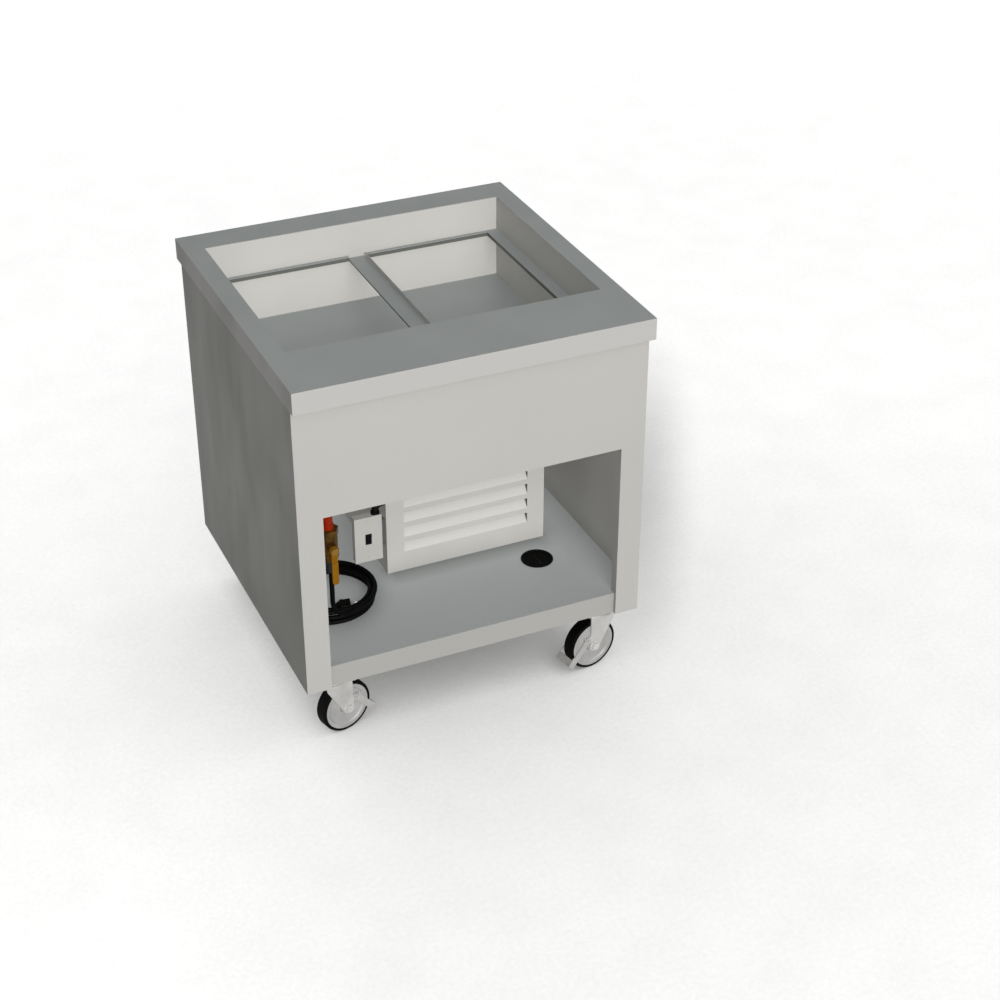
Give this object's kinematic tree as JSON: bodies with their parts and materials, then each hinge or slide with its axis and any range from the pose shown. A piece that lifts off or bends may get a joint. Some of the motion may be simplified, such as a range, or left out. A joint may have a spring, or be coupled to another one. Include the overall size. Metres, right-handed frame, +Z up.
{
  "type": "mobile salad bar",
  "caption": "Refrigerated salad bar cart: a square steel top with a deep pan well, over an open cabinet with a cooling unit, drain and power cord, on swivel casters with brakes.",
  "frame": {"origin": "on the floor under the middle of the top", "axes": "+Z up, -Y towards the open front of the cabinet, +X to the right as seen from the front"},
  "size_m": [0.8128, 0.806, 0.9144],
  "materials": {
    "top_steel": "brushed, satin",
    "liner_steel": "fine brushed, satin",
    "panel_steel": "fine brushed, satin",
    "shelf_steel": "brushed, satin",
    "casing_steel": "zinc coated, dull",
    "rail_steel": "zinc coated, dull",
    "zinc_steel": "bright zinc plating",
    "screw_steel": "bright steel",
    "foam": "closed-cell foam",
    "copper": "drawn copper tube",
    "brass": "cast, dull",
    "valve_chrome": "plated",
    "red_pipe": "satin",
    "lever_sleeve": "dipped sleeve",
    "spout_plastic": "satin",
    "grommet_rubber": "matte",
    "housing_paint": "light grey powder coat",
    "unit_paint": "grey enamel",
    "compressor_paint": "black enamel",
    "fin_aluminium": "bare fins",
    "fan_aluminium": "pressed sheet",
    "switch_paint": "light grey enamel",
    "rocker_plastic": "satin",
    "conduit_plastic": "satin",
    "gland_plastic": "satin",
    "cord_jacket": "smooth, matte",
    "plug_rubber": "moulded",
    "wheel_plastic": "moulded",
    "tread_rubber": "smooth"
  },
  "bodies": {
    "cabinet": {"countertop": "top_steel", "well_liner": "liner_steel", "well_insulation": "foam", "well_casing": "casing_steel", "evaporator_coil": "copper", "pan_ledges": "liner_steel", "drain_fitting": "brass", "drain_pipe": "red_pipe", "valve_body": "brass", "drain_spout": "spout_plastic", "front_frame": "panel_steel", "left_panel": "panel_steel", "right_panel": "panel_steel", "back_panel": "panel_steel", "bottom_shelf": "shelf_steel", "shelf_grommet": "grommet_rubber", "base_rails": "rail_steel", "panel_screws": "screw_steel", "caster_bolts": "screw_steel", "condenser_housing": "housing_paint", "louver_panel": "housing_paint", "unit_base": "unit_paint", "compressor": "compressor_paint", "condenser_coil": "fin_aluminium", "fan_shroud": "unit_paint", "fan_motor": "compressor_paint", "refrigerant_lines": "copper", "switch_box": "switch_paint", "switch_cover": "switch_paint", "switch_conduit": "conduit_plastic", "switch_bracket": "casing_steel", "cord_gland": "gland_plastic", "cord_lead": "cord_jacket", "cord_coil": "cord_jacket", "cord_plug": "plug_rubber", "caster_plates": "zinc_steel"},
    "swivel_fl": {"caster_fork_fl": "zinc_steel", "caster_axle_fl": "screw_steel"},
    "wheel_fl": {"caster_wheel_fl": "wheel_plastic", "caster_tread_fl": "tread_rubber"},
    "pedal_fl": {"brake_pedal_fl": "zinc_steel"},
    "swivel_fr": {"caster_fork_fr": "zinc_steel", "caster_axle_fr": "screw_steel"},
    "wheel_fr": {"caster_wheel_fr": "wheel_plastic", "caster_tread_fr": "tread_rubber"},
    "pedal_fr": {"brake_pedal_fr": "zinc_steel"},
    "swivel_bl": {"caster_fork_bl": "zinc_steel", "caster_axle_bl": "screw_steel"},
    "wheel_bl": {"caster_wheel_bl": "wheel_plastic", "caster_tread_bl": "tread_rubber"},
    "swivel_br": {"caster_fork_br": "zinc_steel", "caster_axle_br": "screw_steel"},
    "wheel_br": {"caster_wheel_br": "wheel_plastic", "caster_tread_br": "tread_rubber"},
    "lever": {"valve_lever": "lever_sleeve", "valve_ball": "valve_chrome"},
    "rocker": {"rocker_switch": "rocker_plastic"},
    "fan": {"fan_blade": "fan_aluminium"},
    "bar": {"adapter_bar": "liner_steel"},
    "strainer": {"drain_strainer": "screw_steel"}
  },
  "joints": [
    {"name": "swivel_turn_fl", "type": "hinge", "parent": "cabinet", "child": "swivel_fl", "pos_m": [-0.331, -0.331, 0.1403], "axis": [0, 0, 1], "continuous": true},
    {"name": "wheel_roll_fl", "type": "hinge", "parent": "swivel_fl", "child": "wheel_fl", "pos_m": [-0.30408, -0.32328, 0.0635], "axis": [-0.2756, 0.9613, 0], "continuous": true},
    {"name": "pedal_lift_fl", "type": "hinge", "parent": "swivel_fl", "child": "pedal_fl", "pos_m": [-0.28272, -0.31716, 0.08572], "axis": [0.2756, -0.9613, 0], "range_deg": [0, 20]},
    {"name": "swivel_turn_fr", "type": "hinge", "parent": "cabinet", "child": "swivel_fr", "pos_m": [0.331, -0.331, 0.1403], "axis": [0, 0, 1], "continuous": true},
    {"name": "wheel_roll_fr", "type": "hinge", "parent": "swivel_fr", "child": "wheel_fr", "pos_m": [0.30351, -0.33634, 0.0635], "axis": [0.1908, -0.9816, 0], "continuous": true},
    {"name": "pedal_lift_fr", "type": "hinge", "parent": "swivel_fr", "child": "pedal_fr", "pos_m": [0.2817, -0.34058, 0.08572], "axis": [-0.1908, 0.9816, 0], "range_deg": [0, 20]},
    {"name": "swivel_turn_bl", "type": "hinge", "parent": "cabinet", "child": "swivel_bl", "pos_m": [-0.326, 0.331, 0.1403], "axis": [0, 0, 1], "continuous": true},
    {"name": "wheel_roll_bl", "type": "hinge", "parent": "swivel_bl", "child": "wheel_bl", "pos_m": [-0.32018, 0.30361, 0.0635], "axis": [0.9781, 0.2079, 0], "continuous": true},
    {"name": "swivel_turn_br", "type": "hinge", "parent": "cabinet", "child": "swivel_br", "pos_m": [0.326, 0.331, 0.1403], "axis": [0, 0, 1], "continuous": true},
    {"name": "wheel_roll_br", "type": "hinge", "parent": "swivel_br", "child": "wheel_br", "pos_m": [0.29969, 0.32142, 0.0635], "axis": [0.342, -0.9397, 0], "continuous": true},
    {"name": "lever_turn", "type": "hinge", "parent": "cabinet", "child": "lever", "pos_m": [-0.308, -0.29, 0.474], "axis": [0, -1, 0], "range_deg": [0, 90]},
    {"name": "rocker_tip", "type": "hinge", "parent": "cabinet", "child": "rocker", "pos_m": [-0.1469, -0.0925, 0.3235], "axis": [-1, 0, 0], "range_deg": [0, 12]},
    {"name": "fan_spin", "type": "hinge", "parent": "cabinet", "child": "fan", "pos_m": [0.1016, 0.0005, 0.36], "axis": [0, 1, 0], "continuous": true},
    {"name": "bar_lift", "type": "slide", "parent": "cabinet", "child": "bar", "axis": [0, 0, 1], "range_m": [0, 0.12]},
    {"name": "strainer_lift", "type": "slide", "parent": "cabinet", "child": "strainer", "axis": [0, 0, 1], "range_m": [0, 0.09]}
  ]
}
